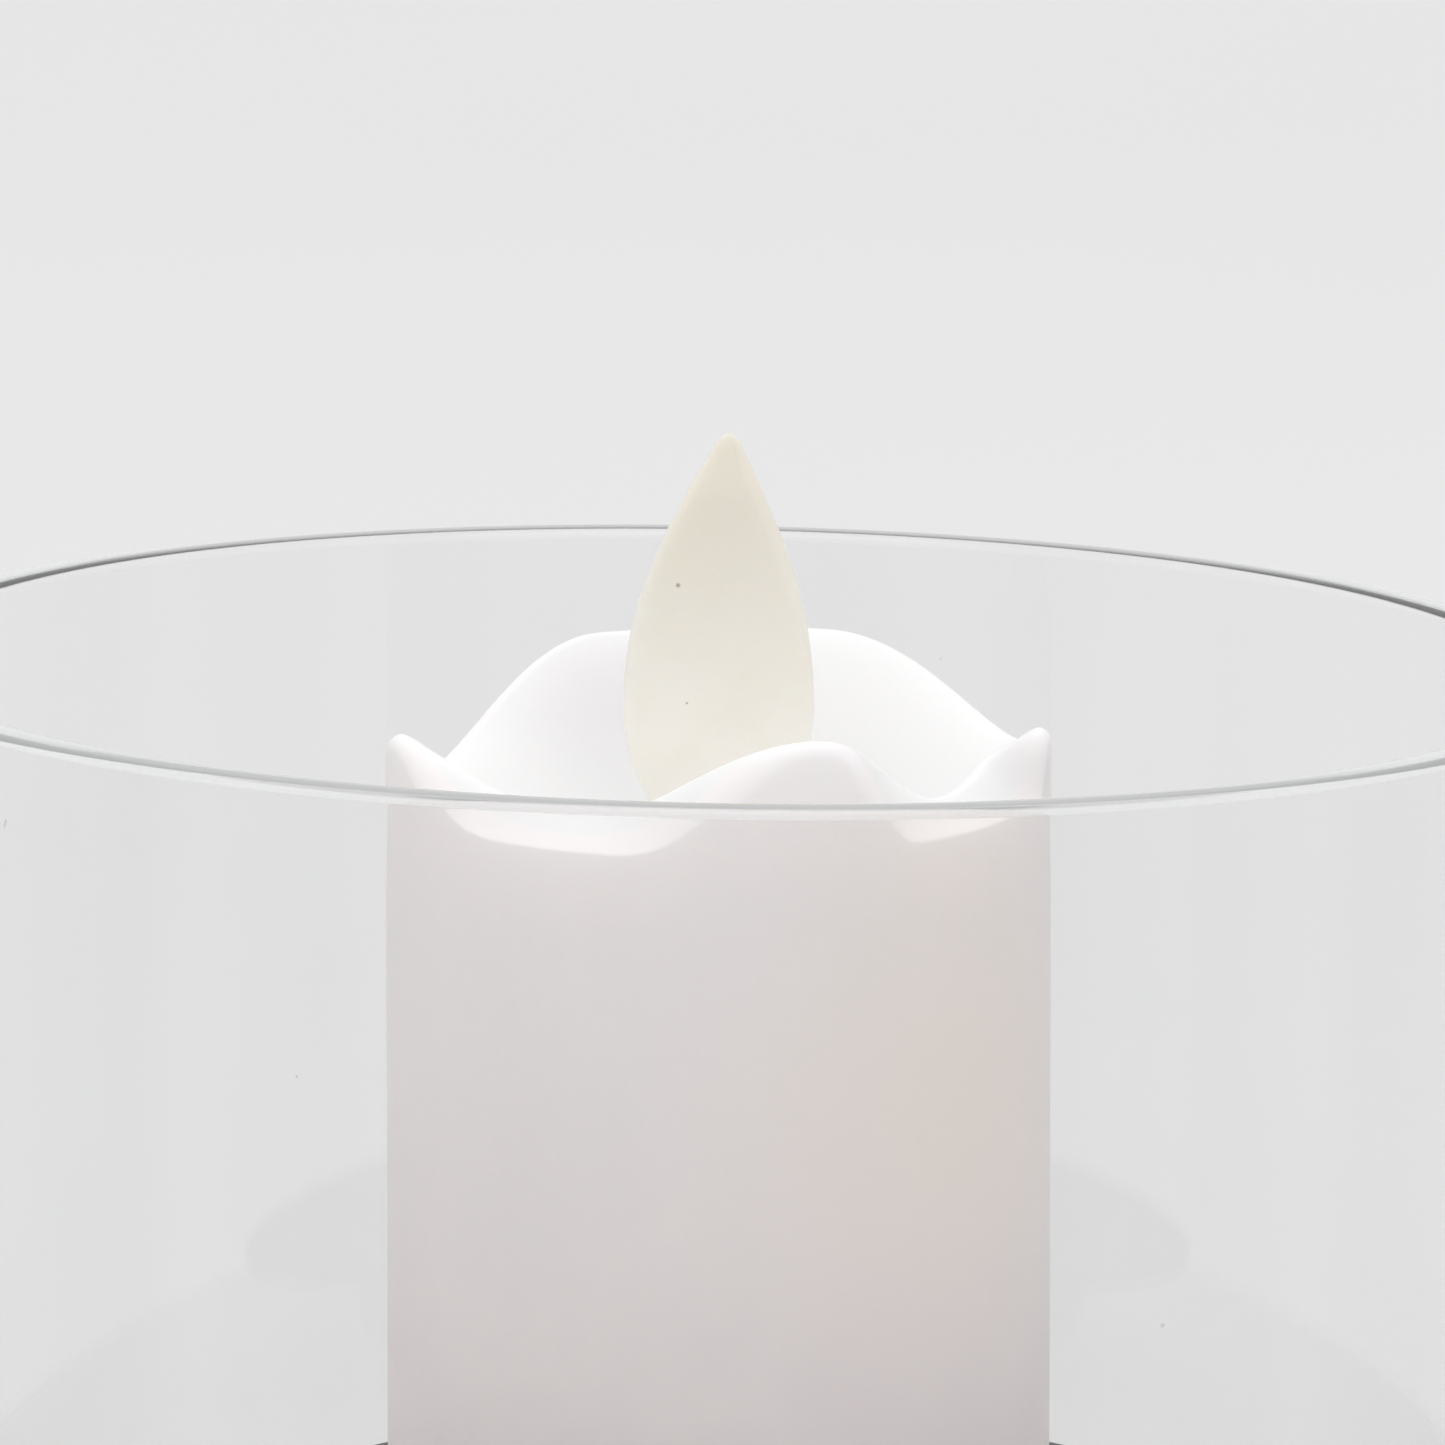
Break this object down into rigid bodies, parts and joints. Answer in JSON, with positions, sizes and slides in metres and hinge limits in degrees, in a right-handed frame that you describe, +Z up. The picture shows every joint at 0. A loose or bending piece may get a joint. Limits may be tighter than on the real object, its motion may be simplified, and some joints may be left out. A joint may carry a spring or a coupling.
{
  "type": "tealight holder",
  "caption": "Tealight holder: clear glass cylinder on a round base, and a black cup with a battery tealight that has a wavy lip and a swaying flame.",
  "frame": {"origin": "middle of the underside, level with the bottom of the felt pads", "axes": "+Z up; -Y is the front, where the broad face of the flame and the front crest of the lip look; +X is to the right of someone facing the front"},
  "size_m": [0.114, 0.114, 0.0824],
  "materials": {
    "base_wood": "grey-washed turned wood, satin",
    "cup_black": "matt black powder coat on sheet steel",
    "pad_felt": "black wool felt",
    "glass_clear": "clear drawn tube, fire-polished rim",
    "shell_white": "translucent white, satin",
    "flame_ivory": "translucent ivory, satin",
    "magnet_nickel": "nickel plated",
    "steel_bright": "zinc plated",
    "frame_natural": "natural moulded plastic",
    "chassis_white": "white moulded plastic, fine texture",
    "led_epoxy": "warm tinted epoxy",
    "bobbin_black": "black nylon",
    "winding_copper": "enamelled copper wire",
    "board_green": "solder mask",
    "chip_black": "moulded epoxy",
    "capacitor_sleeve": "printed sleeve left plain",
    "cell_steel": "bright nickel",
    "contact_spring": "plated spring strip",
    "switch_black": "black moulded plastic",
    "wire_black": "insulated wire"
  },
  "bodies": {
    "holder": {"base_body": "base_wood", "candle_cup": "cup_black", "cup_screw": "steel_bright", "felt_pad_1": "pad_felt", "felt_pad_2": "pad_felt", "felt_pad_3": "pad_felt", "felt_pad_4": "pad_felt"},
    "glass": {"glass_cylinder": "glass_clear"},
    "candle": {"candle_shell": "shell_white", "pivot_wire": "steel_bright", "pivot_frame": "frame_natural", "led": "led_epoxy", "coil_bobbin": "bobbin_black", "coil_winding": "winding_copper", "circuit_board": "board_green", "driver_chip": "chip_black", "capacitor": "capacitor_sleeve", "chassis": "chassis_white", "battery_door": "chassis_white", "battery_door_screw": "steel_bright", "coin_cell": "cell_steel", "contact_negative": "contact_spring", "contact_positive": "contact_spring", "switch_body": "switch_black", "frame_screw_1": "steel_bright", "frame_screw_2": "steel_bright", "frame_screw_3": "steel_bright", "led_lead_1": "steel_bright", "resistor_1": "chip_black", "board_screw_1": "steel_bright", "switch_wire_1": "wire_black", "led_lead_2": "steel_bright", "resistor_2": "chip_black", "board_screw_2": "steel_bright", "switch_wire_2": "wire_black"},
    "flame": {"flame": "flame_ivory", "flame_magnet": "magnet_nickel"},
    "slider": {"switch_slider": "switch_black"}
  },
  "joints": [
    {"name": "glass_lift", "type": "slide", "parent": "holder", "child": "glass", "axis": [0, 0, 1], "range_m": [0, 0.09]},
    {"name": "candle_lift", "type": "slide", "parent": "holder", "child": "candle", "axis": [0, 0, 1], "range_m": [0, 0.08]},
    {"name": "flame_sway", "type": "hinge", "parent": "candle", "child": "flame", "pos_m": [0, 0, 0.0524], "axis": [0, 1, 0], "range_deg": [-9, 9]},
    {"name": "switch_slide", "type": "slide", "parent": "candle", "child": "slider", "axis": [1, 0, 0], "range_m": [0, 0.002]}
  ]
}
